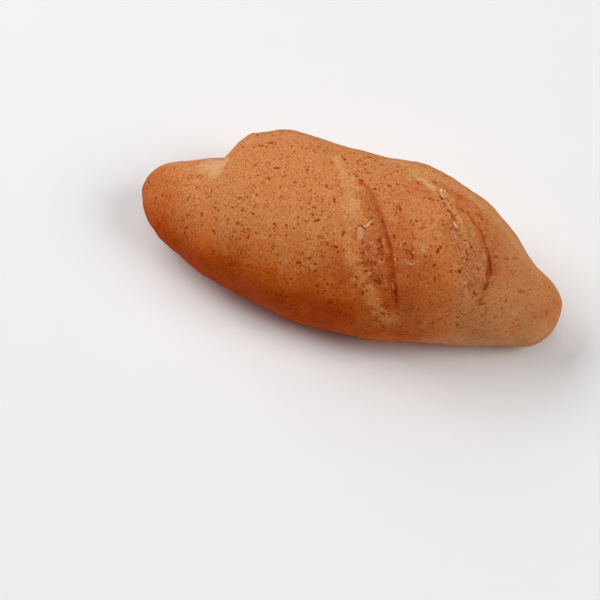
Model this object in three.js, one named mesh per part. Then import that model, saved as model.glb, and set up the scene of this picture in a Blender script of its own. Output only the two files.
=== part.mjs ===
// A bolillo: a wholemeal bread roll shaped like a spindle, with a blunt knob at each end and two diagonal
// scores that opened in the oven. It is one solid, lofted through rings that run along the scores.
//
// Millimetres. X runs along the roll, from the necked end at -X to the plain end at +X, the front flank
// faces -Y, and +Z is up. The origin is the middle of the box on the flat face that the roll stands on.

import * as THREE from 'three';

// ---------------------------------------------------------------- driving dimensions

const LENGTH = 160;
const WIDTH = 67.5;
const HEIGHT = 53;

// Cross sections along the roll. `at` is a share of LENGTH from the middle. `front` and `back` are the two
// half widths as shares of WIDTH, and `crown` and `keel` the heights of the top and bottom as shares of
// HEIGHT. Where the keel is below zero, the oven floor has pressed the dough flat.
const STATIONS = [
  { at: -0.5, front: 0.155, back: 0.145, crown: 0.5, keel: 0.15 }, // knob at the necked end
  { at: -0.42, front: 0.265, back: 0.185, crown: 0.6, keel: 0.08 },
  { at: -0.35, front: 0.335, back: 0.24, crown: 0.69, keel: 0.02 },
  { at: -0.32, front: 0.365, back: 0.255, crown: 0.73, keel: 0.0 }, // neck, pinched at the back
  { at: -0.285, front: 0.395, back: 0.48, crown: 0.8, keel: -0.02 }, // shoulder that swelled past it
  { at: -0.22, front: 0.43, back: 0.49, crown: 0.92, keel: -0.04 },
  { at: -0.06, front: 0.5, back: 0.45, crown: 1.0, keel: -0.055 }, // belly
  { at: 0.12, front: 0.488, back: 0.5, crown: 0.98, keel: -0.055 },
  { at: 0.27, front: 0.366, back: 0.405, crown: 0.908, keel: -0.04 },
  { at: 0.36, front: 0.3, back: 0.267, crown: 0.762, keel: -0.02 },
  { at: 0.42, front: 0.235, back: 0.14, crown: 0.6, keel: 0.0 },
  { at: 0.5, front: 0.18, back: 0.07, crown: 0.44, keel: 0.06 }, // knob at the plain end
];

const WAIST = 0.44; // height of the widest line, as a share of the way from keel to crown
const TOP_FULLNESS = 2.15; // superellipse exponents: 2 is round, more is squarer
const FLANK_FULLNESS = 2.4;
const KNOB_FULLNESS = 2.4;
const NECKED_ROUNDING = 13; // length over which the knob at the necked end rounds off
const PLAIN_ROUNDING = 10; // and the one at the plain end
const FLOOR_BLEND = 1.4; // half height of the soft edge round the flat base

// A score is a leaf-shaped opening. `roll` gives the angles at which it starts and ends, in degrees round the
// section from the crown, negative towards the front. Its two edges run between places along X, `from` and
// `to`, and bow away from the straight line: the soft edge, where the dough slid apart, and the crease, where
// it is deepest and the far side stands up as a lip. A skew under 1 moves a bow towards the start.
const SCORES = [
  {
    roll: { from: 22, to: -74 },
    soft: { from: -9.5, to: 28.5, bow: -6, skew: 1.9 },
    crease: { from: -9.5, to: 28.5, bow: 12, skew: 0.67 },
    depth: 1.5,
    lip: 0.6,
  },
  {
    roll: { from: 31, to: -63 },
    soft: { from: 18.5, to: 46, bow: 5, skew: 0.9 },
    crease: { from: 18.5, to: 52, bow: 21.2, skew: 0.62 },
    depth: 1.3,
    lip: 0.35,
  },
];
const FADE_IN = 0.35; // share of a score's length over which its depth comes in at the start
const FADE_OUT = 0.18; // and dies out at the end
const FLOOR_HOLLOW = 1.6; // how the opened face falls to the crease: 1 is a plane, more is hollow
const WALL_FOOT = 2.6; // breadth of the steep wall on the far side of the crease
const LIP_CREST = 7; // distance from the crease to the top of the lip
const LIP_SPREAD = 5;

// Hand shaping leaves the roll a little uneven: long waves, given by their size, their number along the
// roll, their number round it, and their phase.
const WAVES = [
  { size: 0.5, along: 2.0, round: 2, phase: 0.6 },
  { size: 0.35, along: 3.7, round: 3, phase: 2.1 },
  { size: 0.2, along: 6.3, round: 4, phase: 4.0 },
];

// The mesh. Body rings are counted from the one end to the first crease, on to the second, and on to the
// other end.
const BODY_RINGS = [27, 16, 17];
const KNOB_RINGS = 8;
const RING_POINTS = 60;
const CREASE_CROWDING = 0.65; // 0 spaces the body rings evenly, 1 crowds them fully at the creases
const CROWN_CROWDING = 0.22; // the same for the points of a ring, at the crown

const CRUST_COLOUR = 0xb8703a;

// ---------------------------------------------------------------- small helpers

const { clamp, degToRad, lerp, radToDeg, smoothstep } = THREE.MathUtils;
const signedPower = (value, power) => Math.sign(value) * Math.abs(value) ** power;
const bell = (value) => Math.exp(-(value ** 2));

// A smooth curve through the points (xs, ys) that never overshoots them (Fritsch and Carlson).
function monotoneCurve(xs, ys) {
  const spans = xs.slice(1).map((x, i) => x - xs[i]);
  const slopes = spans.map((span, i) => (ys[i + 1] - ys[i]) / span);
  const tangents = xs.map((_, i) => {
    if (i === 0) return slopes[0];
    if (i === xs.length - 1) return slopes[i - 1];
    if (slopes[i - 1] * slopes[i] <= 0) return 0;
    const before = 2 * spans[i] + spans[i - 1];
    const after = spans[i] + 2 * spans[i - 1];
    return (before + after) / (before / slopes[i - 1] + after / slopes[i]);
  });
  return (x) => {
    const last = spans.length - 1;
    const found = xs.findIndex((_, i) => i === last || x < xs[i + 1]);
    const t = clamp((x - xs[found]) / spans[found], 0, 1);
    const rise = t * t * (3 - 2 * t);
    return (
      lerp(ys[found], ys[found + 1], rise) +
      t * (1 - t) ** 2 * spans[found] * tangents[found] -
      t * t * (1 - t) * spans[found] * tangents[found + 1]
    );
  };
}

// ---------------------------------------------------------------- the plain spindle

const stationXs = STATIONS.map((station) => station.at * LENGTH);
const rail = (key, size) => monotoneCurve(stationXs, STATIONS.map((station) => station[key] * size));
const frontRail = rail('front', WIDTH);
const backRail = rail('back', WIDTH);
const crownRail = rail('crown', HEIGHT);
const keelRail = rail('keel', HEIGHT);

// The point at angle `roll` from the crown, on the section at `x` drawn in to `scale` of its size.
function spindlePoint(x, roll, scale) {
  const crown = crownRail(x);
  const keel = keelRail(x);
  const waist = lerp(keel, crown, WAIST);
  const up = Math.cos(roll);
  const fullness = up >= 0 ? TOP_FULLNESS : FLANK_FULLNESS;
  const halfWidth = Math.sin(roll) >= 0 ? backRail(x) : frontRail(x);
  const halfHeight = up >= 0 ? crown - waist : waist - keel;
  return new THREE.Vector3(
    x,
    scale * halfWidth * signedPower(Math.sin(roll), 2 / fullness),
    waist + scale * halfHeight * signedPower(up, 2 / fullness),
  );
}

// ---------------------------------------------------------------- the scores

// How far the angle `roll` is from a score's start to its end: outside 0 to 1 it is past the score.
function scoreShare(score, roll) {
  return (score.roll.from - radToDeg(roll)) / (score.roll.from - score.roll.to);
}

// Where an edge of a score lies along X, at a share of its length.
function edgeX(edge, share) {
  return lerp(edge.from, edge.to, share) + edge.bow * Math.sin(Math.PI * share ** edge.skew);
}

// The crease as a closed ring round the whole roll: past the score it comes back underneath.
function creaseRingX(score, roll) {
  const share = scoreShare(score, roll);
  if (share >= 0 && share <= 1) return edgeX(score.crease, share);
  const lap = 360 / (score.roll.from - score.roll.to);
  const back = share > 1 ? share - 1 : share + lap - 1;
  return lerp(score.crease.to, score.crease.from, smoothstep(back / (lap - 1), 0, 1));
}

// Height of a score's relief. The opened face falls from the soft edge to the crease. Past the crease the
// wall stands up again and swells into the lip.
function scoreRelief(score, x, roll) {
  const share = scoreShare(score, roll);
  if (share <= 0 || share >= 1) return 0;
  const soft = edgeX(score.soft, share);
  const crease = edgeX(score.crease, share);
  const strength = smoothstep(share, 0, FADE_IN) * smoothstep(1 - share, 0, FADE_OUT);
  if (x <= crease) {
    const fall = clamp((x - soft) / (crease - soft), 0, 1);
    return -score.depth * strength * fall ** FLOOR_HOLLOW;
  }
  const past = x - crease;
  const wall = -score.depth * bell(past / WALL_FOOT);
  const swell = score.lip * bell((past - LIP_CREST) / LIP_SPREAD) * clamp(past / WALL_FOOT, 0, 1);
  return strength * (wall + swell);
}

// ---------------------------------------------------------------- the crust's surface

function waveRelief(x, roll) {
  const along = x / LENGTH + 0.5;
  return WAVES.reduce(
    (sum, wave) =>
      sum + wave.size * Math.sin(2 * Math.PI * wave.along * along + wave.round * roll + wave.phase),
    0,
  );
}

// The outward normal of the plain spindle, from two nearby differences.
function spindleNormal(x, roll, scale) {
  const step = 0.01;
  const along = spindlePoint(x + step, roll, scale).sub(spindlePoint(x - step, roll, scale));
  const round = spindlePoint(x, roll + step, scale).sub(spindlePoint(x, roll - step, scale));
  return along.cross(round).normalize();
}

// Presses what lies under the floor flat, with a soft edge round the pressed face.
function pressFlat(z) {
  if (z >= FLOOR_BLEND) return z;
  if (z <= -FLOOR_BLEND) return 0;
  return (z + FLOOR_BLEND) ** 2 / (4 * FLOOR_BLEND);
}

function crustPoint(x, roll, scale) {
  const scores = SCORES.reduce((sum, score) => sum + scoreRelief(score, x, roll), 0);
  const height = scores + scale * waveRelief(x, roll);
  const point = spindlePoint(x, roll, scale).addScaledVector(spindleNormal(x, roll, scale), height);
  point.z = pressFlat(point.z);
  return point;
}

// ---------------------------------------------------------------- the mesh

// Shares from 0 to 1 that crowd together at both ends.
function crowdedShares(count, crowding) {
  return Array.from({ length: count }, (_, i) => {
    const share = (i + 1) / count;
    return share - (crowding * Math.sin(2 * Math.PI * share)) / (2 * Math.PI);
  });
}

// Each ring gives its place along X as a function of the angle, and the scale of its section.
function makeRings() {
  const neckedEnd = NECKED_ROUNDING - LENGTH / 2;
  const plainEnd = LENGTH / 2 - PLAIN_ROUNDING;
  const guides = [
    () => neckedEnd,
    ...SCORES.map((score) => (roll) => creaseRingX(score, roll)),
    () => plainEnd,
  ];
  const knob = Array.from({ length: KNOB_RINGS - 1 }, (_, i) => {
    const angle = degToRad((90 * (i + 1)) / KNOB_RINGS);
    return {
      reach: Math.cos(angle) ** (2 / KNOB_FULLNESS),
      scale: Math.sin(angle) ** (2 / KNOB_FULLNESS),
    };
  });
  const body = BODY_RINGS.flatMap((count, i) =>
    crowdedShares(count, CREASE_CROWDING).map((share) => ({
      xAt: (roll) => lerp(guides[i](roll), guides[i + 1](roll), share),
      scale: 1,
    })),
  );
  return [
    ...knob.map(({ reach, scale }) => ({ xAt: () => neckedEnd - NECKED_ROUNDING * reach, scale })),
    { xAt: guides[0], scale: 1 },
    ...body,
    ...knob.reverse().map(({ reach, scale }) => ({ xAt: () => plainEnd + PLAIN_ROUNDING * reach, scale })),
  ];
}

function crustGeometry() {
  const rings = makeRings();
  const rolls = Array.from({ length: RING_POINTS }, (_, i) => {
    const turn = 2 * Math.PI * (i / RING_POINTS - 0.5);
    return turn - CROWN_CROWDING * Math.sin(turn);
  });
  const points = rings.flatMap(({ xAt, scale }) => rolls.map((roll) => crustPoint(xAt(roll), roll, scale)));
  const firstTip = points.push(spindlePoint(-LENGTH / 2, 0, 0)) - 1;
  const lastTip = points.push(spindlePoint(LENGTH / 2, 0, 0)) - 1;

  const index = [];
  const lastRing = (rings.length - 1) * RING_POINTS;
  for (let j = 0; j < RING_POINTS; j++) {
    const next = (j + 1) % RING_POINTS;
    index.push(firstTip, j, next);
    for (let here = 0; here < lastRing; here += RING_POINTS) {
      const there = here + RING_POINTS;
      index.push(here + j, there + j, there + next, here + j, there + next, here + next);
    }
    index.push(lastTip, lastRing + next, lastRing + j);
  }

  const geometry = new THREE.BufferGeometry().setFromPoints(points).setIndex(index);
  geometry.computeBoundingBox();
  const middle = geometry.boundingBox.getCenter(new THREE.Vector3());
  geometry.translate(-middle.x, -middle.y, 0);
  geometry.computeVertexNormals();
  return geometry;
}

// ---------------------------------------------------------------- the part

const crust = new THREE.MeshStandardMaterial({ color: CRUST_COLOUR, roughness: 0.7, metalness: 0 });
const roll = new THREE.Mesh(crustGeometry(), crust);
roll.name = 'roll';

const bolillo = new THREE.Group();
bolillo.add(roll);

export default bolillo;
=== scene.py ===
"""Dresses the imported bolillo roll: a fine crust over the solid, flakes, materials, floor, lights and camera.

The roll's shape repeats part.mjs, in the same frame: millimetres here, metres in Blender. X runs from the
necked end to the plain end, the front flank faces -Y, and +Z is up.
"""

import math

import bpy
import numpy as np
from mathutils import Matrix, Vector, noise


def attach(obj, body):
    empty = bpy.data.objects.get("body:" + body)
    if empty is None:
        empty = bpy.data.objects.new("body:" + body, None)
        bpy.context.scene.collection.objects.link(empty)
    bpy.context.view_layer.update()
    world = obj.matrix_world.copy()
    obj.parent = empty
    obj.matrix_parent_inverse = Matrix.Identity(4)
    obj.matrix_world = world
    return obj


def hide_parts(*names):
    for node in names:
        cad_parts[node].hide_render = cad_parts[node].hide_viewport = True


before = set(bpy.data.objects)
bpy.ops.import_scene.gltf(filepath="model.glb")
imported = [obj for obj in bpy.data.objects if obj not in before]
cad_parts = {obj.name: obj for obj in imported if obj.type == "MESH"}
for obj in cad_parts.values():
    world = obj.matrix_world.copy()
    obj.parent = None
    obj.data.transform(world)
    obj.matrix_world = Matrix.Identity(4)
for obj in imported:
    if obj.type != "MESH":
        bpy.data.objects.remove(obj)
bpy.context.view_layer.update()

MM = 0.001

# ---------------------------------------------------------------- the roll's driving dimensions

LENGTH = 160
WIDTH = 67.5
HEIGHT = 53

# Cross sections: place along LENGTH, front and back half widths as shares of WIDTH, and the heights of crown
# and keel as shares of HEIGHT.
STATIONS = [
    # at, front, back, crown, keel
    (-0.5, 0.155, 0.145, 0.5, 0.15),
    (-0.42, 0.265, 0.185, 0.6, 0.08),
    (-0.35, 0.335, 0.24, 0.69, 0.02),
    (-0.32, 0.365, 0.255, 0.73, 0.0),
    (-0.285, 0.395, 0.48, 0.8, -0.02),
    (-0.22, 0.43, 0.49, 0.92, -0.04),
    (-0.06, 0.5, 0.45, 1.0, -0.055),
    (0.12, 0.488, 0.5, 0.98, -0.055),
    (0.27, 0.366, 0.405, 0.908, -0.04),
    (0.36, 0.3, 0.267, 0.762, -0.02),
    (0.42, 0.235, 0.14, 0.6, 0.0),
    (0.5, 0.18, 0.07, 0.44, 0.06),
]
WAIST = 0.44  # the height of the widest place, as a share from keel to crown
TOP_FULLNESS = 2.15  # superellipse powers: of a section's top, of its flanks, and of the rounded ends
FLANK_FULLNESS = 2.4
KNOB_FULLNESS = 2.4
NECKED_ROUNDING = 13  # the lengths of the rounded ends
PLAIN_ROUNDING = 10
FLOOR_BLEND = 1.4  # how far over and under the floor the pressed face blends in

# The two scores. Angles are in degrees from the crown, and each edge runs between two places along X, with a
# bow and its skew. Torn gives the shares between which the torn dough starts. Cracks give the places along
# the crease, as shares, where it is split, and how far each reaches.
SCORES = [
    {
        "roll": (22, -74),
        "soft": (-9.5, 28.5, -6, 1.9),
        "crease": (-9.5, 28.5, 12, 0.67),
        "depth": 1.5,
        "lip": 0.6,
        "torn": (0.36, 0.52),
        "cracks": [(0.42, 0.14), (0.8, 0.11)],
    },
    {
        "roll": (31, -63),
        "soft": (18.5, 46, 5, 0.9),
        "crease": (18.5, 52, 21.2, 0.62),
        "depth": 1.3,
        "lip": 0.35,
        "torn": (0.05, 0.2),
        "cracks": [(0.28, 0.04), (0.49, 0.11), (0.7, 0.04)],
    },
]
FADE_IN = 0.35  # the share of a score in which it deepens from its start
FADE_OUT = 0.18  # and the one in which it fades to its end
FLOOR_HOLLOW = 1.6  # how late the opened face drops towards the crease
WALL_FOOT = 2.6  # how far past the crease the wall reaches
LIP_CREST = 7  # how far past it the lip is highest
LIP_SPREAD = 5
FACE_LEAST = 0.5  # the opened face counts as at least this wide
SHARE_LEAST = 1e-4  # and every place as at least this far inside the score

# Long waves: size, number along the roll, number round it, phase.
WAVES = [(0.5, 2.0, 2, 0.6), (0.35, 3.7, 3, 2.1), (0.2, 6.3, 4, 4.0)]

# ---------------------------------------------------------------- the crust's finer relief

# Lumps all over the crust: wavelength and height.
LUMPS = [(11.0, 0.2), (4.5, 0.12), (2.0, 0.06)]
# Torn dough by the creases: wavelength and height, stretched along the score.
TORN = [(3.0, 0.32), (1.3, 0.2)]
TORN_STRETCH = 1.6
TORN_START = (2, 6)  # how far past the soft edge it starts and is full
TORN_CREASE = (-0.3, 0.5)  # how far before the crease it is gone and is full
TORN_END = (0.05, 0.25)  # and before the score's lower end, as shares
TORN_LEAST = 0.01  # a mask below this counts as not torn
TORN_CHART = (60, 40)  # a score's length in the noise, and how far its depth shifts it there
RELIEF_FULL = 6  # the height above the floor from which lumps and torn dough are at their full size
SOFT_STEP = 0.15  # how far the opened face drops at its soft edge
SOFT_STEP_WIDTH = 1.2
SOFT_STEP_END = 3  # how far before the crease it starts to die out
SOFT_WOBBLE = 0.6  # how far the soft edge strays from its smooth line
SOFT_SEED = 5.0
CREASE_WOBBLE = 0.4  # how far the crease strays from its smooth line
WOBBLE = ((3.1, 0.5), (7.3, 0.3), (15.7, 0.2))  # waves in a score's length, and the size of each
FISSURE_DEPTH = 0.3  # the narrow crack at the bottom of the crease
FISSURE_WIDTH = 0.5
FISSURE_SHARES = (0.2, 0.8, 0.35)  # how open it is: everywhere, more where it is split, and by chance
FISSURE_SEED = 9.0
# The painted shade along each crease: a dark brown band where the crease lies in shade.
CREASE_SHADE_MIDDLE = 0.3  # how far before the crease the painted shade along it is darkest
CREASE_SHADE_BEFORE = 1.9  # how far it reaches before that
CREASE_SHADE_PAST = 1.2  # and past it
CREASE_SHADE_FADE = 0.6  # how much weaker it is at the score's lower end
PIT_DEPTH = 0.2  # how deep the dark marks are sunk

# ---------------------------------------------------------------- what is painted on the crust

# Where the crust has browned: place along X, the heights where it starts and where it is done, and how much.
BROWNING = [
    (-80, 36, 13, 0.9),
    (-57, 38.5, 22, 1.0),
    (-30, 52, 23, 1.0),
    (0, 56, 24, 0.97),
    (12, 57, 30, 0.8),
    (20, 56, 39, 0.62),
    (33, 54, 39, 0.6),
    (44, 55, 36, 0.33),
    (56, 50, 30, 0.05),
    (80, 50, 30, 0.0),
]

BACK_PALER = 0.4  # how much less the back flank has browned, as a share
BACK_LOWER = 12  # and how much lower down
BACK_START = (0.2, 0.9)  # where this starts and is full, as shares of the back half width

# Marks by kind: radius in millimetres, strength, and a line of places. A place is given along X, and in
# degrees from the crown.
MARKS = {
    "pale": [
        (1.6, 1.3, [(-8.3, 24), (-6, 16), (-3.5, 10)]),
        (3.3, 0.8, [(-1.5, 8), (3, -6), (5, -14)]),
        # Painted sheen: a pale strip along the upper back flank of the right half.
        (4.0, 0.7, [(10, 42), (20, 41), (30, 37), (40, 40), (47, 40), (52, 36), (60, 34), (67, 30)]),
        # Painted sheen along the upper back flank of the necked half.
        (3.0, 0.35, [(-46, 29), (-38, 34), (-30, 42), (-22, 42)]),
        (2.2, 0.45, [(33, 13), (36, 11), (39, 3), (43, -3), (47, -9)]),
        (0.8, 0.7, [(38, 9), (41, 5), (44, -2)]),
        (0.7, 0.6, [(41, 12), (44, 6), (46, -1)]),
        # Painted sheen along the upper back flank above the first score.
        (4.5, 0.5, [(14, 46), (17, 40), (21, 34)]),
        (2.2, 0.9, [(18, 30), (24, 27), (29, 23), (33, 18)]),
        (5.0, 0.25, [(-62, 12), (-54, 6)]),
        (4.0, 0.9, [(-55, 10), (-50, 5), (-49, 14)]),
        (3.0, 0.3, [(-76, 3), (-70, 29), (-62, 45)]),
        (0.5, 0.6, [(26.5, -29), (28, -30), (30.5, -30)]),
        (0.5, 0.5, [(49, -61), (51.5, -63)]),
        (0.5, 0.5, [(46, -24), (50, -27)]),
    ],
    "gold": [
        (2.2, 0.6, [(4.5, -20), (7.5, -31)]),
        (2.6, 0.85, [(8.5, -36), (12, -43), (17, -54), (21, -63)]),
        (2.6, 0.9, [(20, -64), (23.5, -70), (27, -72)]),
    ],
    "grey": [
        (1.6, 0.5, [(1.5, 0), (5, 1)]),
        (3.2, 0.5, [(7, 1), (12, -10), (15.5, -23), (18, -36), (22, -51)]),
        (4.5, 0.35, [(7, -17), (13, -19)]),
        # The next three broad grey marks, right of the first score: painted shade, where less light falls than
        # on the left.
        (5.0, 0.25, [(23, 24), (29, 18)]),
        (6.5, 0.5, [(39, 0), (43, -6), (47, -17)]),
        (5.0, 0.35, [(47, 15), (53, 1), (57, -17)]),
        (9.0, 0.4, [(30, -35), (32, -60), (34, -78)]),
        (1.8, 0.6, [(41, -12)]),
        (2.0, 0.6, [(47.5, -27), (49, -34)]),
        (1.4, 0.6, [(-32.5, -12)]),
        (9.0, 0.35, [(-74, -8), (-71, -35)]),
        (7.0, 0.3, [(-63, -31), (-53, -54)]),
    ],
    "warm": [
        (1.2, 0.8, [(3.5, 10)]),
        (1.1, 0.7, [(6.5, 5)]),
        (0.8, 0.3, [(-8.5, 23), (-4.5, 6), (1, -13), (4, -27)]),
        (2.8, 0.4, [(51, 8), (53, 1), (55, -9), (55, -18)]),
        (1.8, 0.6, [(21.5, -32), (23, -40), (24.5, -47), (26, -58)]),
    ],
    "brown": [
        (4.5, 0.15, [(13, 5), (18, -2)]),
        (4.5, 0.45, [(22, -11), (25, -22), (28, -35), (30, -46), (31, -58)]),
        (5.5, 0.45, [(1, -38), (4, -42), (7, -48)]),
        (4.5, 0.4, [(29, 32), (33, 34), (37, 32)]),
        (3.5, 0.35, [(34, 24), (40, 21), (46, 15)]),
        (5.0, 0.2, [(75, -48), (79, -20)]),
        (2.5, 0.25, [(11, -7), (16, -21), (21, -40), (23, -52)]),
        (3.5, 0.45, [(10, -24), (13, -33), (17, -42)]),
    ],
    "white": [
        (0.9, 0.6, [(30.7, -19)]),
        # A painted reflection of the pale floor, low on the front of the plain end.
        (6.0, 0.22, [(40, -99), (50, -101), (60, -102), (69, -94), (75, -70)]),
        (3.5, 0.55, [(-56, 22), (-51.5, 24), (-50, 10)]),
        (0.9, 0.8, [(21, 28), (23, 26.5), (24.8, 24), (27, 22.5)]),
    ],
    # Dark marks: painted shade round the cracks and in the pits, which are also sunk a little.
    "dark": [
        (0.9, 0.5, [(10.5, -25)]),
        (0.9, 0.55, [(15.5, -20), (16.5, -23), (17.5, -27)]),
        (0.8, 0.5, [(12.5, -37), (15, -35), (17, -35)]),
        (0.9, 0.5, [(12.5, -33)]),
        (0.8, 0.5, [(17, -42), (19, -41)]),
        (0.8, 0.5, [(18, -45), (19.5, -47)]),
        (1.0, 0.4, [(22, -34), (23, -40), (24.5, -47), (25.5, -54)]),
        (0.7, 0.4, [(25.5, -50), (26.5, -60)]),
        (0.9, 0.5, [(23.5, -61)]),
        (0.8, 0.4, [(30.5, 17)]),
        (0.9, 0.4, [(26.3, 29)]),
        (0.9, 0.4, [(34, 11), (35.5, 9.5), (37, 7)]),
        (0.9, 0.4, [(38.3, 17)]),
        (0.7, 0.5, [(52.5, -7), (53.5, -16), (53.5, -22)]),
        (0.7, 0.4, [(53, -48)]),
        (0.7, 0.4, [(55, -54)]),
    ],
}
MARK_RAGGED = 0.7  # how far a mark's edge strays, as a share of its radius
MARK_STRAY = 1.8  # and of this in a mark with a larger radius
MARK_EDGE = (0.4, 1.3)  # where a mark starts to fade and is gone, as shares of its radius
STRAY_NOISE = ((2.2, 1.0, 0), (0.9, 0.6, 20))  # wavelength, strength and shift
STRAY_SHIFTS = (0, 40, 80)  # a further shift for each axis

# Thin streaks by kind, given like the marks: cracks and holes, painted dark as painted shade, and pale threads
# of dough.
STREAKS = {
    "crack": [
        # A painted shadow beneath the first two flakes.
        (0.3, 1.0, [(7.6, -16), (8.4, -15.5), (9.3, -16.5), (9.9, -16.5)]),
        (0.25, 0.6, [(9.7, -24), (10.2, -23.5), (10.9, -24), (11.2, -25.5), (10.7, -26.5), (10.1, -25.5)]),
        (0.45, 0.6, [(10.4, -25), (10.6, -25)]),
        (0.35, 1.0, [(15.3, -20), (16, -22)]),
        (0.35, 0.6, [(16.4, -26.5), (16.8, -24), (17.7, -25.5), (18.5, -27), (17.8, -29)]),
        (0.4, 0.8, [(12.3, -36), (12.5, -37)]),
        (0.3, 0.7, [(15, -34.5), (17, -34.5)]),
        (0.3, 0.7, [(8, -30.5), (7.7, -29)]),
        (0.3, 0.6, [(3.2, -13.5), (3.1, -11.5)]),
        (0.3, 0.7, [(18, -46), (18.8, -44.5), (19.7, -45), (20.5, -44)]),
        (0.45, 0.6, [(22.6, -59.5), (23.5, -58), (24.2, -60.5), (23.6, -63)]),
        (0.3, 0.7, [(-9.3, 20), (-8.4, 18.5)]),
        (0.4, 0.9, [(25.6, 29.5), (26.8, 29)]),
        (0.3, 0.9, [(28.8, 21), (29.5, 19), (30.6, 17)]),
        (0.5, 1.0, [(30.5, 17.5), (30.7, 17)]),
        (0.35, 0.8, [(31.9, 19), (32.9, 17.5)]),
        (0.3, 0.5, [(29.6, 28), (30.9, 26.5), (32.8, 26)]),
        (0.3, 1.0, [(33.7, 11), (35, 10), (35.9, 8.5), (36.9, 7)]),
        (0.45, 0.9, [(38, 17.5), (38.7, 16.5)]),
        (0.35, 0.7, [(40.4, 19), (40.7, 19)]),
        (0.35, 0.7, [(38.4, 1), (38.7, 0.5)]),
        (0.4, 0.8, [(43.1, -6.5), (43.3, -7)]),
        (0.35, 0.6, [(40.4, -3.5), (40.7, -4)]),
        (0.4, 0.8, [(50.9, -29.5), (51.1, -30)]),
        (0.3, 0.6, [(50.1, -39.5), (50.3, -40)]),
        (0.4, 0.8, [(31.4, -36), (31.6, -36.5)]),
        (0.4, 0.8, [(36.4, -37), (36.9, -39)]),
        (0.45, 0.8, [(26.3, -22.5), (26.9, -23.5), (27.7, -25)]),
    ],
    "thread": [
        (1.5, 0.5, [(8.6, -18.5), (9.2, -22)]),
        (0.8, 0.5, [(29.2, 24), (30, 21), (30.7, 19.5)]),
        (0.3, 0.8, [(10, -30.5), (10.2, -31)]),
        (0.25, 0.6, [(10.6, -35), (11.4, -36), (12.8, -38)]),
        (0.3, 0.6, [(9.1, -35.5), (9.3, -36)]),
        (0.25, 0.6, [(22.9, -21.5), (22.8, -19), (23.6, -17.5)]),
        (0.25, 0.7, [(25.6, -27.5), (26.6, -30), (28.3, -30.5), (29, -28.5)]),
        (0.3, 0.6, [(47.7, -26), (48.5, -24.5), (49.7, -24)]),
        (0.35, 0.8, [(46.1, -36), (47.1, -36.5)]),
        (0.3, 0.6, [(48.5, -47.5), (49.8, -48.5)]),
        (0.3, 0.5, [(39.8, -1.5), (40.4, -4.5)]),
        (0.3, 0.5, [(44.2, -9), (45.1, -11.5)]),
        (0.4, 0.5, [(39.3, 9), (40.3, 4)]),
        (0.3, 0.9, [(49.7, -3), (49.9, -3.5)]),
        (0.3, 0.5, [(37.7, 11), (38.9, 7)]),
        (0.3, 0.6, [(35.7, -37.5), (35.9, -38)]),
    ],
}
STREAK_CORE = 0.4  # the share of its radius in which a streak is at its full strength

# Curled flakes of dry dough: the line they lie along, width, and how far the free edge stands up.
FLAKES = [
    ([(9.1, -15.5), (10.1, -14.8), (10.5, -13), (11.4, -10.8)], 0.6, 0.45),
    ([(9, -15.6), (9.6, -15.2), (10.2, -14.8)], 0.7, 0.35),
    ([(29.1, 24.5), (29.6, 22.5)], 0.45, 0.3),
    ([(30.3, 25.7), (30.8, 24.8)], 0.45, 0.25),
    ([(37, 4.2), (37.9, 2.6), (38.8, 1.8)], 0.7, 0.35),
    ([(22.3, -29), (22.9, -30)], 0.5, 0.25),
]
FLAKE_STEPS = 14
FLAKE_THICKNESS = 0.16
FLAKE_TIP = 0.12  # how wide its two tips are, as a share of its width
FLAKE_CURL = 1.5  # how late across the leaf it turns up
FLAKE_FULLNESS = 1.2  # how full its cross section is towards the two edges
FLAKE_ROUNDING = (0.02, 0.98)  # the part of its length that is rounded off, as shares
# Waves along a leaf, in its width and in its lift: size, rate, and how far its width shifts them.
FLAKE_RAGGED = (0.3, 17, 9)
FLAKE_WAVY = (0.35, 9, 20)

# Fine mesh: rings to the first crease, to the second and to the end, rings in a knob, points in a ring.
BODY_RINGS = (124, 72, 72)
KNOB_RINGS = 24
RING_POINTS = 288
CREASE_CROWDING = 0.65  # how much closer the rings lie at a crease
CROWN_CROWDING = 0.3  # and the points at the crown


def clamp(value, low=0.0, high=1.0):
    return np.minimum(np.maximum(value, low), high)


def smoothstep(value, low, high):
    t = clamp((value - low) / (high - low))
    return t * t * (3 - 2 * t)


def bell(value):
    return np.exp(-(value**2))


def signed_power(value, power):
    return np.sign(value) * np.abs(value) ** power


def monotone_curve(xs, ys):
    """A smooth curve through the points that never overshoots them (Fritsch and Carlson)."""
    xs = np.array(xs, float)
    ys = np.array(ys, float)
    spans = np.diff(xs)
    slopes = np.diff(ys) / spans
    tangents = np.zeros(len(xs))
    tangents[0] = slopes[0]
    tangents[-1] = slopes[-1]
    for i in range(1, len(xs) - 1):
        if slopes[i - 1] * slopes[i] > 0:
            before = 2 * spans[i] + spans[i - 1]
            after = spans[i] + 2 * spans[i - 1]
            tangents[i] = (before + after) / (before / slopes[i - 1] + after / slopes[i])

    def curve(x):
        found = np.clip(np.searchsorted(xs, x, side="right") - 1, 0, len(spans) - 1)
        t = clamp((x - xs[found]) / spans[found])
        rise = t * t * (3 - 2 * t)
        return (
            ys[found] + (ys[found + 1] - ys[found]) * rise
            + t * (1 - t) ** 2 * spans[found] * tangents[found]
            - t * t * (1 - t) * spans[found] * tangents[found + 1]
        )

    return curve


def rail(column, size):
    places = [station[0] * LENGTH for station in STATIONS]
    return monotone_curve(places, [station[column] * size for station in STATIONS])


FRONT_RAIL = rail(1, WIDTH)
BACK_RAIL = rail(2, WIDTH)
CROWN_RAIL = rail(3, HEIGHT)
KEEL_RAIL = rail(4, HEIGHT)


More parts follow.
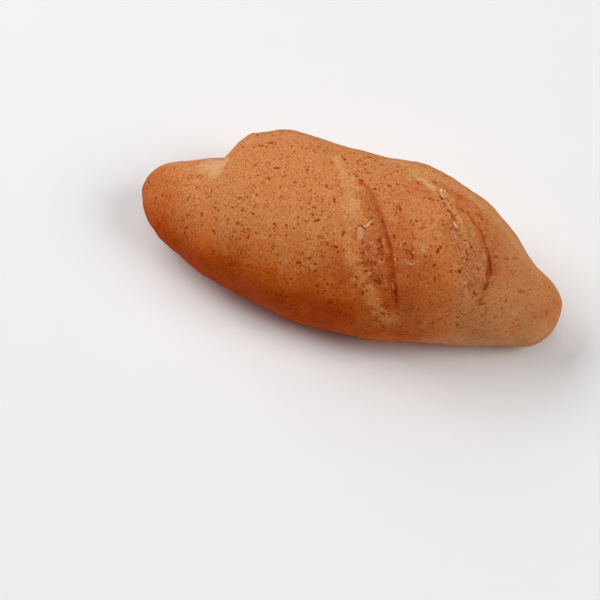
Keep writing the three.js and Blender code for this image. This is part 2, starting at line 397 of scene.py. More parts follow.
def spindle_point(x, roll, scale):
    """The plain spindle: the point at angle roll from the crown on the section at x, drawn in to scale."""
    crown = CROWN_RAIL(x)
    keel = KEEL_RAIL(x)
    waist = keel + WAIST * (crown - keel)
    up = np.cos(roll)
    side = np.sin(roll)
    power = 2 / np.where(up >= 0, TOP_FULLNESS, FLANK_FULLNESS)
    half_width = np.where(side >= 0, BACK_RAIL(x), FRONT_RAIL(x))
    half_height = np.where(up >= 0, crown - waist, waist - keel)
    y = scale * half_width * signed_power(side, power)
    z = waist + scale * half_height * signed_power(up, power)
    return np.stack([x + 0 * roll, y, z], axis=-1)


def spindle_normal(x, roll, scale):
    step = 0.01
    along = spindle_point(x + step, roll, scale) - spindle_point(x - step, roll, scale)
    around = spindle_point(x, roll + step, scale) - spindle_point(x, roll - step, scale)
    normal = np.cross(along, around)
    return normal / np.linalg.norm(normal, axis=-1, keepdims=True)


def wobble(share, seed):
    """A wandering line between -1 and 1, as a function of the share of a score's length."""
    return sum(np.sin(2 * np.pi * rate * share + seed * rate) * size for rate, size in WOBBLE)


def score_share(score, roll):
    """How far an angle is from the score's start to its end: outside 0 to 1 it is past the score."""
    start, end = score["roll"]
    return (start - np.degrees(roll)) / (start - end)


def edge_x(score, edge, share):
    start, end, bow, skew = score[edge]
    return start + (end - start) * share + bow * np.sin(np.pi * clamp(share) ** skew)


def crease_x(score, share):
    """The crease with its wobble, which dies out at the score's two ends."""
    strength = score_strength(share)
    return edge_x(score, "crease", share) + CREASE_WOBBLE * strength * wobble(share, score["depth"])


def crease_ring_x(score, roll):
    """The crease as a closed ring round the roll: past the score it comes back underneath."""
    share = score_share(score, roll)
    lap = 360 / (score["roll"][0] - score["roll"][1])
    back = np.where(share > 1, share - 1, share + lap - 1)
    start, end = score["crease"][:2]
    under = end + (start - end) * smoothstep(back / (lap - 1), 0, 1)
    inside = (share >= 0) & (share <= 1)
    return np.where(inside, crease_x(score, clamp(share)), under)


def score_strength(share):
    return smoothstep(share, 0, FADE_IN) * smoothstep(1 - share, 0, FADE_OUT)


def score_fields(score, x, roll):
    """Relief of one score, masks from 0 to 1 of what shows in it, and a chart for its torn dough's relief."""
    share = clamp(score_share(score, roll), SHARE_LEAST, 1 - SHARE_LEAST)
    strength = score_strength(share)
    soft = edge_x(score, "soft", share) + SOFT_WOBBLE * wobble(share, SOFT_SEED + score["depth"])
    crease = crease_x(score, share)
    past = x - crease
    fall = clamp((x - soft) / np.maximum(crease - soft, FACE_LEAST))

    opened = -score["depth"] * fall**FLOOR_HOLLOW
    wall = -score["depth"] * bell(past / WALL_FOOT)
    swell = score["lip"] * bell((past - LIP_CREST) / LIP_SPREAD) * clamp(past / WALL_FOOT)
    step = smoothstep(x - soft, 0, SOFT_STEP_WIDTH) * smoothstep(-past, 0, SOFT_STEP_END)
    relief = strength * (np.where(past <= 0, opened, wall + swell) - SOFT_STEP * step)

    everywhere, where_split, by_chance = FISSURE_SHARES
    split = sum(bell((share - at) / reach) for at, reach in score["cracks"])
    chance = wobble(2 * share, FISSURE_SEED + score["depth"])
    crack = strength * clamp(everywhere + where_split * split + by_chance * chance)
    crack = crack * bell(past / FISSURE_WIDTH)
    relief = relief - FISSURE_DEPTH * crack

    torn = smoothstep(x - soft, *TORN_START) * smoothstep(-past, *TORN_CREASE)
    torn = torn * smoothstep(share, *score["torn"]) * smoothstep(1 - share, *TORN_END)
    # Painted shade along the crease, darkest just before it and weaker towards the score's lower end.
    reach = np.where(past < -CREASE_SHADE_MIDDLE, CREASE_SHADE_BEFORE, CREASE_SHADE_PAST)
    crease_shade = strength * (1 - CREASE_SHADE_FADE * share) * bell((past + CREASE_SHADE_MIDDLE) / reach)
    length, apart = TORN_CHART
    chart = np.stack([share * length + apart * score["depth"], x - soft, 0 * x], axis=-1)
    return relief, {"torn": torn, "crease": crack, "crease_shade": crease_shade}, chart


def wave_relief(x, roll):
    along = x / LENGTH + 0.5
    return sum(
        size * np.sin(2 * np.pi * number * along + turns * roll + phase)
        for size, number, turns, phase in WAVES
    )


def smooth_noise(points, wavelength):
    """Perlin noise, about -0.5 to 0.5, at an array of points in millimetres."""
    flat = (points / wavelength).reshape(-1, 3)
    values = np.fromiter((noise.noise(Vector(p)) for p in flat), float, len(flat))
    return values.reshape(points.shape[:-1])


def press_flat(z):
    """Presses what lies under the floor flat, with a soft edge round the pressed face."""
    blend = (z + FLOOR_BLEND) ** 2 / (4 * FLOOR_BLEND)
    return np.where(z >= FLOOR_BLEND, z, np.where(z <= -FLOOR_BLEND, 0, blend))


def crust_surface(x, roll, scale):
    """The crust's points in millimetres, and its masks, for arrays of place, angle and section scale."""
    plain = spindle_point(x, roll, scale)
    relief = scale * wave_relief(x, roll)
    masks = {name: 0 * x for name in ("torn", "crease", "crease_shade")}
    tear = np.zeros(plain.shape)
    for score in SCORES:
        height, found, chart = score_fields(score, x, roll)
        relief = relief + height
        for name, mask in found.items():
            masks[name] = np.maximum(masks[name], mask)
        tear = np.where((found["torn"] > TORN_LEAST)[..., None], chart, tear)
    tear = tear * [1 / TORN_STRETCH, 1, 1]
    shreds = sum(2 * size * smooth_noise(tear, wavelength) for wavelength, size in TORN)
    lumps = sum(2 * size * smooth_noise(plain, wavelength) for wavelength, size in LUMPS)
    off_floor = smoothstep(plain[..., 2], 0, RELIEF_FULL)
    relief = relief + off_floor * (lumps + masks["torn"] * shreds)

    points = plain + spindle_normal(x, roll, scale) * relief[..., None]
    points[..., 2] = press_flat(points[..., 2])
    return points, masks


def on_crust(line):
    """Points on the crust, in millimetres, from places along X and degrees from the crown."""
    x, degrees = np.array(line, float).T
    return crust_surface(x, np.radians(degrees), 1 + 0 * x)[0]


def line_distance(points, line):
    """How far each point is from a line through the given points, or from the only one."""
    nearest = np.linalg.norm(points - line[0], axis=-1)
    for start, end in zip(line, line[1:]):
        ahead = end - start
        share = clamp((points - start) @ ahead / (ahead @ ahead))
        nearest = np.minimum(nearest, np.linalg.norm(points - start - share[..., None] * ahead, axis=-1))
    return nearest


def browning_mask(x, points):
    """How brown the crust is, from 0 to 1."""
    places = [row[0] for row in BROWNING]
    starts, done, amount = (monotone_curve(places, [row[i] for row in BROWNING])(x) for i in (1, 2, 3))
    behind = smoothstep(points[..., 1] / BACK_RAIL(x), *BACK_START)
    height = points[..., 2] + BACK_LOWER * behind
    return amount * (1 - BACK_PALER * behind) * smoothstep(starts - height, 0, starts - done)


def stray_vectors(points):
    """A noise vector at each point, by which the edges of the marks stray."""
    stray = np.zeros(points.shape)
    for wavelength, size, start in STRAY_NOISE:
        noises = [smooth_noise(points + start + shift, wavelength) for shift in STRAY_SHIFTS]
        stray += size * np.stack(noises, axis=-1)
    return stray


def mark_masks(points):
    """A mask for each kind of mark, from 0 to the mark's strength."""
    masks = {}
    stray = stray_vectors(points)
    for kind, marks in MARKS.items():
        masks[kind] = np.zeros(points.shape[:-1])
        for radius, strength, line in marks:
            astray = points + 2 * MARK_RAGGED * min(radius, MARK_STRAY) * stray
            distance = line_distance(astray, on_crust(line)) / radius
            masks[kind] = np.maximum(masks[kind], strength * (1 - smoothstep(distance, *MARK_EDGE)))
    return masks


# ---------------------------------------------------------------- the fine mesh


def crowded_shares(count, crowding):
    share = np.arange(1, count + 1) / count
    return share - crowding * np.sin(2 * np.pi * share) / (2 * np.pi)


def ring_grid():
    """Place along X and section scale for every ring and every angle, as two-dimensional arrays."""
    turn = 2 * np.pi * (np.arange(RING_POINTS) / RING_POINTS - 0.5)
    roll = turn - CROWN_CROWDING * np.sin(turn)
    necked_end = NECKED_ROUNDING - LENGTH / 2
    plain_end = LENGTH / 2 - PLAIN_ROUNDING
    creases = [crease_ring_x(score, roll) for score in SCORES]
    guides = [0 * roll + necked_end, *creases, 0 * roll + plain_end]
    angle = 0.5 * np.pi * np.arange(1, KNOB_RINGS) / KNOB_RINGS
    reach = np.cos(angle) ** (2 / KNOB_FULLNESS)
    knob_scale = np.sin(angle) ** (2 / KNOB_FULLNESS)

    places = [0 * roll + necked_end - NECKED_ROUNDING * r for r in reach]
    scales = list(knob_scale)
    places.append(guides[0])
    scales.append(1.0)
    for i, count in enumerate(BODY_RINGS):
        for share in crowded_shares(count, CREASE_CROWDING):
            places.append(guides[i] + (guides[i + 1] - guides[i]) * share)
            scales.append(1.0)
    places += [0 * roll + plain_end + PLAIN_ROUNDING * r for r in reach[::-1]]
    scales += list(knob_scale[::-1])
    x = np.array(places)
    return x, np.broadcast_to(roll, x.shape), np.broadcast_to(np.array(scales)[:, None], x.shape)


def ring_faces(rings, points):
    """Quads between the rings and a fan of triangles at either tip, whose vertices come last."""
    here = (np.arange(rings - 1)[:, None] * points + np.arange(points)).ravel()
    ahead = (np.arange(rings - 1)[:, None] * points + (np.arange(points) + 1) % points).ravel()
    quads = np.stack([here, here + points, ahead + points, ahead], axis=-1)
    first_tip = rings * points
    last_ring = (rings - 1) * points
    fans = []
    for j in range(points):
        following = (j + 1) % points
        fans.append((first_tip, j, following))
        fans.append((first_tip + 1, last_ring + following, last_ring + j))
    return quads.tolist() + fans


def add_object(name, points, faces, masks=None):
    """An object with a smooth mesh, from points in millimetres, and with masks as values at its points."""
    mesh = bpy.data.meshes.new(name)
    mesh.from_pydata((np.array(points) * MM).tolist(), [], faces)
    mesh.polygons.foreach_set("use_smooth", [True] * len(mesh.polygons))
    for mask, values in (masks or {}).items():
        attribute = mesh.attributes.new(mask, "FLOAT", "POINT")
        attribute.data.foreach_set("value", values)
    mesh.update()
    made = bpy.data.objects.new(name, mesh)
    bpy.context.scene.collection.objects.link(made)
    return made


def make_roll():
    """The crust, and how far its middle lies from the spindle's, which the flakes need too."""
    x, roll, scale = ring_grid()
    points, masks = crust_surface(x, roll, scale)
    masks["browning"] = browning_mask(x, points)
    masks.update(mark_masks(points))
    points = points - spindle_normal(x, roll, scale) * (PIT_DEPTH * masks["dark"])[..., None]
    middle = (points.min(axis=(0, 1)) + points.max(axis=(0, 1))) / 2 * [1, 1, 0]
    tips = spindle_point(np.array([-LENGTH / 2, LENGTH / 2]), np.zeros(2), np.zeros(2))
    points = np.concatenate([points.reshape(-1, 3), tips]) - middle
    tip_masks = [0, 0]
    masks = {name: np.append(values.ravel(), tip_masks) for name, values in masks.items()}
    return add_object("roll_crust", points, ring_faces(*x.shape), masks), middle


def flake_wave(wave, along, width):
    size, rate, shift = wave
    return 1 + size * np.sin(rate * along + shift * width)


def flake_surface(line, width, curl):
    """Points and faces of a thin closed leaf on the crust, one edge sunk in and the other standing up."""
    along = np.linspace(0, 1, FLAKE_STEPS)
    given = np.linspace(0, 1, len(line))
    x, degrees = (np.interp(along, given, values) for values in np.array(line, float).T)
    roll = np.radians(degrees)
    spine = crust_surface(x, roll, 1 + 0 * x)[0]
    out = spindle_normal(x, roll, 1 + 0 * x)
    ahead = np.gradient(spine, axis=0)
    across = np.cross(out, ahead / np.linalg.norm(ahead, axis=-1, keepdims=True))
    rounded = np.sqrt(np.sin(np.pi * clamp(along, *FLAKE_ROUNDING)))
    half = 0.5 * width * flake_wave(FLAKE_RAGGED, along, width) * (FLAKE_TIP + rounded)
    wavy = flake_wave(FLAKE_WAVY, along, width)

    turn = 2 * np.pi * np.arange(FLAKE_STEPS) / FLAKE_STEPS
    side = np.cos(turn)
    thick = 0.5 * FLAKE_THICKNESS * np.sin(turn) * (FLAKE_FULLNESS - side**2)
    lift = curl * (0.5 + 0.5 * side) ** FLAKE_CURL + thick
    points = (
        spine[:, None] + across[:, None] * np.outer(half, side)[..., None]
        + out[:, None] * np.outer(wavy, lift)[..., None]
    )
    faces = []
    for ring in range(FLAKE_STEPS - 1):
        here = ring * FLAKE_STEPS
        following = here + FLAKE_STEPS
        for j in range(FLAKE_STEPS):
            k = (j + 1) % FLAKE_STEPS
            faces.append((here + j, here + k, following + k, following + j))
    faces.append(tuple(range(FLAKE_STEPS))[::-1])
    faces.append(tuple(range((FLAKE_STEPS - 1) * FLAKE_STEPS, FLAKE_STEPS**2)))
    return points.reshape(-1, 3), faces


def make_flakes(middle):
    points = []
    faces = []
    for line, width, curl in FLAKES:
        leaf, leaf_faces = flake_surface(line, width, curl)
        faces += [tuple(len(points) + corner for corner in face) for face in leaf_faces]
        points += (leaf - middle).tolist()
    return add_object("crust_flakes", points, faces)


# ---------------------------------------------------------------- materials

# Linear colours.
PALE_CRUST = (0.64, 0.235, 0.074, 1)
GOLDEN = (0.63, 0.155, 0.028, 1)
ORANGE = (0.56, 0.088, 0.006, 1)
BROWN = (0.47, 0.057, 0.002, 1)
DULL_TAN = (0.63, 0.24, 0.085, 1)
PALE_BAND = (0.71, 0.315, 0.12, 1)
GOLDEN_BAND = (0.69, 0.26, 0.075, 1)
PALE_SPECK = (0.76, 0.42, 0.2, 1)
WARM_SPECK = (0.7, 0.23, 0.05, 1)
GREY_BROWN = (0.45, 0.13, 0.04, 1)
CREAM_WHITE = (0.8, 0.46, 0.26, 1)
FLAKE = (0.97, 0.66, 0.44, 1)
# The colour of the painted shade along the creases.
CREASE_SHADE = (0.42, 0.065, 0.003, 1)
# The dark line in the creases' fissures: painted shade.
CREASE = (0.3, 0.028, 0.0, 1)
FLECK = (0.29, 0.024, 0.0, 1)
FINE_FLECK = (0.42, 0.06, 0.001, 1)
# The dark inside cracks, holes and pits: painted shade.
SHADE_IN_CRACKS = (0.24, 0.02, 0.0, 1)

# The crust's colours as it browns: how brown it is where each starts, and where it covers the one before.
BROWNED = ((0, 0.5, GOLDEN), (0.4, 0.8, ORANGE), (0.7, 1.05, BROWN))
STILL_PALE = (0.3, 0.8, 1.0, 0.0)  # how pale it counts as, by how brown it is

# The colours of broad marks and of the painted shade along the creases, from the lowest to the top one.
PAINTS = (
    ("warm", ORANGE),
    ("crease_shade", CREASE_SHADE),
    ("brown", BROWN),
    ("gold", GOLDEN_BAND),
    ("pale", PALE_BAND),
    ("grey", GREY_BROWN),
)

# Noises: wavelength in millimetres, detail and roughness.
PATCH_NOISE = (9, 2.0, 0.5)
BLOTCH_NOISE = (3.2, 3.0, 0.6)
GRAIN_NOISE = (1.1, 3.0, 0.75)
DUST_NOISE = (0.55, 1.0, 0.5)
BEND_NOISE = (0.9, 1.0, 0.5)
TORN_NOISE = (4, 2.0, 0.5)
TORN_GRAIN_NOISE = (0.9, 3.0, 0.75)
CROWD_NOISE = (7, 2.0, 0.5)
SMUDGE_NOISE = (4.5, 4.0, 0.65)
PORE_NOISE = (2.2, 3.0, 0.6)
SHRED_NOISE = (1.5, 4.0, 0.7)
FLAKE_NOISE = (0.8, 2.0, 0.5)

# Ramps over a noise: the two values of the noise that each runs between, and what it gives at either.
RAGGED = (0.3, 0.6, 0.7, 1.1)
TORN_PLACES = (0.35, 0.55, 0.3, 1.0)
SPLIT_PLACES = (0.38, 0.6, 0.4, 1.0)
CROWDS = (0.35, 0.6, 0.45, 1.0)
SMUDGES = (0.58, 0.72, 0.0, 1.0)
FLAKE_PATCHES = (0.35, 0.65, 0.0, 1.0)

# How much a noise changes the browning, and the crust's shade.
PATCHINESS = 0.7
BLOTCHINESS = 0.4
GRAIN = 0.45
DUST = 1.4
TORN_GRAIN = 1.2
GRAIN_TINT = (0.45, 1.0, 1.6)  # its share in red, green and blue, so that a darker place is a redder one
TINGE = (0.15, 0.05, 0.6)  # how much red, green and blue change each on its own
BEND = 0.9  # the outlines of flecks and cracks are bent by up to half of this, in millimetres

# The plain end is duller and more even.
PLAIN_END = (43, 69)  # where along X it starts and is full
PLAIN_END_RAGGED = 16  # how far at most a noise shifts it towards the middle
PLAIN_END_TAN = 0.8  # how strongly the dull tan covers it
PLAIN_END_EVEN = 0.6  # how much less patchy it is, as a share
PLAIN_END_SMOOTH = 0.35  # and how much less grain it has
PLAIN_END_CLEAN = 0.4  # and how much weaker its dark flecks are
PALE_MARKS_CLEAN = 0.6  # and those on the pale marks

# Bran flecks in the crust: spacing, size, stretch and share of each layer.
DARK_FLECKS = [
    (2.9, 0.56, 2.9, 0.9),
    (2.6, 0.47, 3.1, 0.9),
    (3.8, 0.62, 1.7, 0.4),
    (2.1, 0.37, 2.8, 0.9),
]
FINE_FLECKS = [
    (1.5, 0.36, 1.8, 0.8),
    (1.15, 0.29, 2.0, 0.8),
]
PALE_FLECKS = [
    (3.1, 0.55, 1.8, 0.5),
    (1.6, 0.34, 1.5, 0.6),
    (1.2, 0.27, 1.4, 0.6),
]
# Holes, painted dark as painted shade, and light shreds in the torn dough.
TORN_HOLES = [
    (1.7, 0.42, 1.8, 0.8),
    (2.5, 0.6, 1.8, 0.7),
]
TORN_SHREDS = [
    (1.6, 0.4, 2.6, 0.8),
    (2.6, 0.55, 3.2, 0.7),
]
FLECK_SIZES = (0.55, 1.25)  # the smallest and the largest, as shares of the layer's size
FLECK_CORE = 0.7  # the share of its radius in which a fleck is at its full strength
FLECK_FAINTEST = 0.5
LAYER_STEP = (7.3, 3.7, 5.9)  # how far apart the layers lie in the noise
LAYER_START = (1.1, 0, 0)
SMUDGE_STRENGTH = 0.3
PALE_STRENGTH = 0.5
FINE_STRENGTH = 0.65
SHRED_STRENGTH = 0.8
HOLE_STRENGTH = 0.9

# Bumps: how high each stands out over the grain, and how strong and how high they all are.
PORE_BUMP = 1.2
FLECK_BUMP = -0.25
SHRED_BUMP = 3.0
HOLE_BUMP = -1.0
THREAD_BUMP = 0.5
BUMP_STRENGTH = 0.4
BUMP_HEIGHT = 0.35

CRUST_ROUGHNESS = 0.62
FLAKE_ROUGHNESS = 0.6
SPECULAR = 0.02


class Graph:
    """A material's node tree, with a short call for each kind of node that it needs."""

    def __init__(self, name):
        self.material = bpy.data.materials.new(name)
        self.material.use_nodes = True
        self.tree = self.material.node_tree
        self.tree.nodes.clear()

    def put(self, socket, value):
        if isinstance(value, bpy.types.NodeSocket):
            self.tree.links.new(value, socket)
        elif value is not None:
            socket.default_value = value

    def node(self, kind, **inputs):
        made = self.tree.nodes.new("ShaderNode" + kind)
        for name, value in inputs.items():
            self.put(made.inputs[name.replace("_", " ")], value)
        return made

    def math(self, operation, a, b=None, c=None):
        made = self.node("Math")
        made.operation = operation
        for socket, value in zip(made.inputs, (a, b, c)):
            self.put(socket, value)
        return made.outputs[0]

    def times(self, a, b):
        return self.math("MULTIPLY", a, b)

    def swing(self, value, size):
        """Turns 0 to 1 into a change of this size, as much down as up."""
        return self.math("MULTIPLY_ADD", value, size, -size / 2)

    def less(self, value, share):
        """Turns 0 to 1 into a factor that is 1 at 0, and less by share at 1."""
        return self.math("MULTIPLY_ADD", value, -share, 1.0)

    def ramp(self, value, low, high, to_low=0.0, to_high=1.0):
        """Maps value from low..high to to_low..to_high along a smooth step."""
        made = self.node("MapRange")
        made.interpolation_type = "SMOOTHSTEP"
        for socket, given in zip(made.inputs, (value, low, high, to_low, to_high)):
            self.put(socket, given)
        return made.outputs[0]

    def mix(self, factor, a, b):
        """Colour b over colour a. The node has an A and a B for every type, so its sockets go by number."""
        made = self.node("Mix")
        made.data_type = "RGBA"
        for number, value in ((0, factor), (6, a), (7, b)):
            self.put(made.inputs[number], value)
        return made.outputs[2]

    def vector(self, operation, a, b=None, scale=None, output="Vector"):
        made = self.node("VectorMath")
        made.operation = operation
        self.put(made.inputs[0], a)
        self.put(made.inputs[1], b)
        if scale is not None:
            self.put(made.inputs["Scale"], scale)
        return made.outputs[output]

    def measure(self, operation, a, b=None):
        """A vector operation that gives a number."""
        return self.vector(operation, a, b, output="Value")

    def centred(self, colour):
        """Turns a random colour into a vector that may point any way."""
        return self.vector("SUBTRACT", colour, (0.5, 0.5, 0.5))

    def noise(self, coords, look, output="Fac"):
        wavelength, detail, roughness = look
        made = self.node("TexNoise", Vector=coords, Scale=1 / wavelength, Detail=detail, Roughness=roughness)
        return made.outputs[output]

    def attribute(self, name):
        made = self.node("Attribute")
        made.attribute_name = name
        return made.outputs["Fac"]

    def millimetres(self):
        """Where a point lies on the object."""
        return self.vector("SCALE", self.node("TexCoord").outputs["Object"], scale=1 / MM)

    def surface(self, **inputs):
        """Closes the material with a shader that has these inputs."""
        shader = self.node("BsdfPrincipled", **inputs)
        self.node("OutputMaterial", Surface=shader.outputs[0])
        return self.material


class Crust(Graph):
    """The crust's material, with the noises and masks that its layers share."""

    def __init__(self):
        super().__init__("crust")
        self.coords = self.millimetres()
        self.patches = self.noise(self.coords, PATCH_NOISE)
        self.blotches = self.noise(self.coords, BLOTCH_NOISE)
        self.grain = self.noise(self.coords, GRAIN_NOISE)
        self.ragged = self.ramp(self.blotches, *RAGGED)
        along = self.node("SeparateXYZ", Vector=self.coords).outputs["X"]
        astray = self.math("MULTIPLY_ADD", self.patches, PLAIN_END_RAGGED, along)
        self.plain_end = self.ramp(astray, *PLAIN_END)
        torn_places = self.ramp(self.noise(self.coords, TORN_NOISE), *TORN_PLACES)
        self.torn = self.times(self.attribute("torn"), torn_places)
        self.bend = self.centred(self.noise(self.coords, BEND_NOISE, "Color"))
        self.crooked = self.vector("ADD", self.coords, self.vector("SCALE", self.bend, scale=BEND))

    def browning(self):
        """How brown the crust is, in soft uneven patches."""
        patches = self.swing(self.patches, PATCHINESS)
        uneven = self.math("ADD", patches, self.swing(self.blotches, BLOTCHINESS))
        even_end = self.less(self.plain_end, PLAIN_END_EVEN)
        return self.math("MULTIPLY_ADD", uneven, even_end, self.attribute("browning"))

    def browned(self, browning):
        """The crust's colour from pale to deeply browned."""
        colour = PALE_CRUST
        for low, high, browner in BROWNED:
            colour = self.mix(self.ramp(browning, low, high), colour, browner)
        return self.mix(self.times(self.plain_end, PLAIN_END_TAN), colour, DULL_TAN)

    def painted(self, colour, *paints):
        """Marks over a colour, by the masks on the mesh."""
        for name, paint in paints:
            colour = self.mix(self.times(self.attribute(name), self.ragged), colour, paint)
        return colour

    def grained(self, colour):
        """Grain in a colour, coarser in the torn dough."""
        dust = self.swing(self.noise(self.coords, DUST_NOISE), DUST)
        rise = self.math("ADD", self.swing(self.grain, GRAIN), dust)
        rise = self.times(rise, self.less(self.plain_end, PLAIN_END_SMOOTH))
        coarse = self.swing(self.noise(self.crooked, TORN_GRAIN_NOISE), TORN_GRAIN)
        rise = self.math("MULTIPLY_ADD", coarse, self.torn, rise)
        shade = self.vector("ADD", self.vector("SCALE", GRAIN_TINT, scale=rise), (1, 1, 1))
        shade = self.vector("ADD", self.vector("MULTIPLY", self.bend, TINGE), shade)
        return self.vector("MULTIPLY", colour, shade)

    def fleck_layer(self, coords, spacing, size, stretch, share):
        """Scattered flecks, from 0 to 1: one to a cell, turned at random, in the given share of the cells."""
        place = self.vector("SCALE", coords, scale=1 / spacing)
        cells = self.node("TexVoronoi", Vector=place, Scale=1)
        away = self.vector("SUBTRACT", place, cells.outputs["Position"])
        axis = self.vector("NORMALIZE", self.centred(cells.outputs["Color"]))
        along = self.measure("DOT_PRODUCT", away, axis)
        shorter = self.vector("SCALE", axis, scale=self.times(along, 1 / stretch - 1))
        distance = self.measure("LENGTH", self.vector("ADD", away, shorter))
        dice = self.node("TexWhiteNoise", Vector=cells.outputs["Position"])
        radius = self.times(self.ramp(dice.outputs["Value"], 0, 1, *FLECK_SIZES), size / spacing)
        spot = self.ramp(distance, self.times(radius, FLECK_CORE), radius, 1.0, 0.0)
        chance = self.node("SeparateColor", Color=dice.outputs["Color"])
        present = self.math("LESS_THAN", chance.outputs[0], share)
        strength = self.math("MULTIPLY_ADD", chance.outputs[1], 1 - FLECK_FAINTEST, FLECK_FAINTEST)
        return self.times(spot, self.times(present, strength))

    def flecks(self, layers, strength=1.0):
        """Layers of flecks as one mask, each layer with flecks of its own."""
        total = 0.0
        for number, layer in enumerate(layers):
            shift = [start + step * number for start, step in zip(LAYER_START, LAYER_STEP)]
            mask = self.fleck_layer(self.vector("ADD", self.crooked, shift), *layer)
            total = self.math("MAXIMUM", total, mask)
        return self.times(total, strength)

    def streaks(self, kind, middle):
        """Thin streaks, from 0 to 1, by the distance to each of their straight parts."""
        total = 0.0
        for radius, strength, line in STREAKS[kind]:
            corners = on_crust(line) - middle
            nearest = LENGTH
            for start, end in zip(corners, corners[1:]):
                ahead = end - start
                reach = self.vector("SUBTRACT", self.crooked, start)
                share = self.measure("DOT_PRODUCT", reach, ahead / (ahead @ ahead))
                share = self.math("MAXIMUM", self.math("MINIMUM", share, 1.0), 0.0)
                distance = self.measure("DISTANCE", reach, self.vector("SCALE", ahead, scale=share))
                nearest = self.math("MINIMUM", nearest, distance)
            spot = self.ramp(nearest, STREAK_CORE * radius, radius, strength, 0.0)
            total = self.math("MAXIMUM", total, spot)
        return total

    def crowd(self):
        """How strong the dark flecks are, from place to place."""
        crowds = self.ramp(self.noise(self.coords, CROWD_NOISE), *CROWDS)
        crowds = self.times(crowds, self.less(self.plain_end, PLAIN_END_CLEAN))
        return self.times(crowds, self.less(self.attribute("pale"), PALE_MARKS_CLEAN))

    def bumps(self, *masks):
        """The normal of a bumpy surface: masks with how high each stands out over the grain."""
        height = self.grain
        for mask, size in masks:
            height = self.math("MULTIPLY_ADD", mask, size, height)
        bump = self.node("Bump", Strength=BUMP_STRENGTH, Distance=BUMP_HEIGHT * MM, Height=height)
        return bump.outputs["Normal"]


def crust_material(middle):
    crust = Crust()
    browning = crust.browning()
    colour = crust.browned(browning)
    colour = crust.painted(colour, *PAINTS)
    colour = crust.grained(colour)

    # Smudges and flecks, and shreds and holes in the torn dough, the holes painted dark as painted shade.
    still_pale = crust.ramp(browning, *STILL_PALE)
    speck = crust.mix(still_pale, WARM_SPECK, PALE_SPECK)
    smudges = crust.times(crust.ramp(crust.noise(crust.coords, SMUDGE_NOISE), *SMUDGES), still_pale)
    crowd = crust.crowd()
    dark = crust.flecks(DARK_FLECKS, crowd)
    holes = crust.flecks(TORN_HOLES, crust.torn)
    for mask, strength, paint in (
        (smudges, SMUDGE_STRENGTH, speck),
        (crust.flecks(PALE_FLECKS), PALE_STRENGTH, speck),
        (crust.flecks(FINE_FLECKS, crowd), FINE_STRENGTH, FINE_FLECK),
        (dark, 1.0, FLECK),
        (crust.flecks(TORN_SHREDS, crust.torn), SHRED_STRENGTH, speck),
        (holes, HOLE_STRENGTH, SHADE_IN_CRACKS),
    ):
        colour = crust.mix(crust.times(mask, strength), colour, paint)

    # White dough and a painted reflection of the floor, the painted shade in the creases, cracks and pits, and
    # threads, which lie over the flecks.
    colour = crust.painted(colour, ("white", CREAM_WHITE))
    # The dark line in each crease's fissure, in places: painted shade.
    split = crust.times(crust.attribute("crease"), crust.ramp(crust.blotches, *SPLIT_PLACES))
    colour = crust.mix(split, colour, CREASE)
    # Painted shade round the cracks and in the pits.
    colour = crust.painted(colour, ("dark", SHADE_IN_CRACKS))
    # Cracks painted dark as painted shade, and pale threads of dough.
    cracks = crust.streaks("crack", middle)
    threads = crust.streaks("thread", middle)
    colour = crust.mix(cracks, colour, SHADE_IN_CRACKS)
    colour = crust.mix(threads, colour, CREAM_WHITE)

    normal = crust.bumps(
        (crust.noise(crust.coords, PORE_NOISE), PORE_BUMP),
        (dark, FLECK_BUMP),
        (crust.times(crust.noise(crust.coords, SHRED_NOISE), crust.torn), SHRED_BUMP),
        (crust.math("MAXIMUM", holes, cracks), HOLE_BUMP),
        (threads, THREAD_BUMP),
    )
    return crust.surface(
        Base_Color=colour, Roughness=CRUST_ROUGHNESS, Specular_IOR_Level=SPECULAR, Normal=normal
    )


def flake_material():
    graph = Graph("flake")
    patches = graph.ramp(graph.noise(graph.millimetres(), FLAKE_NOISE), *FLAKE_PATCHES)
    colour = graph.mix(patches, CREAM_WHITE, FLAKE)
    return graph.surface(Base_Color=colour, Roughness=FLAKE_ROUGHNESS, Specular_IOR_Level=SPECULAR)


# ---------------------------------------------------------------- floor, lights and camera

FLOOR_HALF = 3000  # half its side
FLOOR_COLOUR = (0.93, 0.93, 0.93, 1)
FLOOR_ROUGHNESS = 0.9


def make_floor():
    corners = [(x * FLOOR_HALF, y * FLOOR_HALF, 0) for x, y in ((-1, -1), (1, -1), (1, 1), (-1, 1))]
    floor = add_object("floor", corners, [(0, 1, 2, 3)])
    material = Graph("floor").surface(Base_Color=FLOOR_COLOUR, Roughness=FLOOR_ROUGHNESS)
    floor.data.materials.append(material)


# Five soft boxes round the roll, as in a light tent: place in metres, and power in watts.
SOFT_BOXES = {
    "left": ((-1.4, 0.2, 1.4), 19.0),
    "right": ((1.4, 0.0, 1.4), 19.0),
    "top": ((0.0, 0.0, 2.0), 6.0),
    "low_left": ((-1.9, -0.3, 0.6), 4.0),
    "back": ((-1.1, 1.1, 1.2), 7.5),
}
SOFT_BOX_SIZE = 1.2
AMBIENT = 0.02


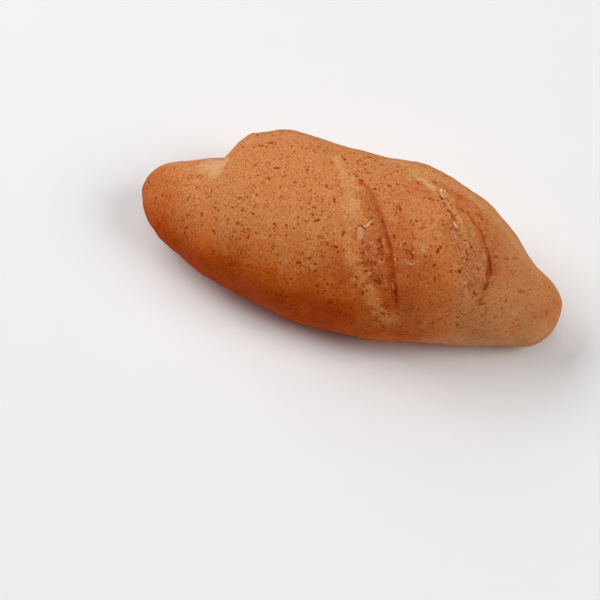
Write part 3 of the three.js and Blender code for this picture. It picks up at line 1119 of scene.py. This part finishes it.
def make_lights():
    for name, (place, power) in SOFT_BOXES.items():
        data = bpy.data.lights.new(name, "AREA")
        data.shape = "DISK"
        data.size = SOFT_BOX_SIZE
        data.energy = power
        light = bpy.data.objects.new(name, data)
        light.location = place
        light.rotation_euler = (CAMERA_TARGET - light.location).to_track_quat("-Z", "Y").to_euler()
        light.visible_camera = False
        bpy.context.scene.collection.objects.link(light)
    world = bpy.data.worlds.new("studio")
    world.use_nodes = True
    background = world.node_tree.nodes["Background"]
    background.inputs["Color"].default_value = (1, 1, 1, 1)
    background.inputs["Strength"].default_value = AMBIENT
    bpy.context.scene.world = world


# The camera looks at the roll from this azimuth and elevation. It is then swung aside, without tipping over,
# because the roll lies right of and above the middle of the picture. Lens and sensor are in millimetres,
# distance and target in metres.
CAMERA_AZIMUTH = 18.5
CAMERA_ELEVATION = 60.0
CAMERA_LENS = 80
CAMERA_SENSOR = 36
CAMERA_DISTANCE = 0.48
CAMERA_TARGET = Vector((0, 0, 0.023))
PICTURE_SIDE = 600
TARGET_RIGHT = 47 / PICTURE_SIDE  # where the target falls, as shares of the picture from its middle
TARGET_UP = 62 / PICTURE_SIDE


def make_camera():
    azimuth = math.radians(CAMERA_AZIMUTH)
    elevation = math.radians(CAMERA_ELEVATION)
    back = Vector(
        (
            math.sin(azimuth) * math.cos(elevation),
            -math.cos(azimuth) * math.cos(elevation),
            math.sin(elevation),
        )
    )
    right = Vector((math.cos(azimuth), math.sin(azimuth), 0))
    up = back.cross(right)
    width_there = CAMERA_DISTANCE * CAMERA_SENSOR / CAMERA_LENS
    data = bpy.data.cameras.new("camera")
    data.lens = CAMERA_LENS
    data.sensor_width = CAMERA_SENSOR
    camera = bpy.data.objects.new("camera", data)
    camera.location = CAMERA_TARGET + back * CAMERA_DISTANCE
    aim = CAMERA_TARGET - (right * TARGET_RIGHT + up * TARGET_UP) * width_there
    level = Matrix((right, up, back)).transposed().to_quaternion()
    swing = (-back).rotation_difference(aim - camera.location)
    camera.rotation_euler = (swing @ level).to_euler()
    bpy.context.scene.collection.objects.link(camera)
    bpy.context.scene.camera = camera


# ---------------------------------------------------------------- the scene

crust, middle = make_roll()
crust.data.materials.append(crust_material(middle))
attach(crust, "root")
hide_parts("roll")

flakes = make_flakes(middle)
flakes.data.materials.append(flake_material())
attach(flakes, "root")

make_floor()
make_lights()
make_camera()
bpy.context.scene.view_settings.view_transform = "Standard"
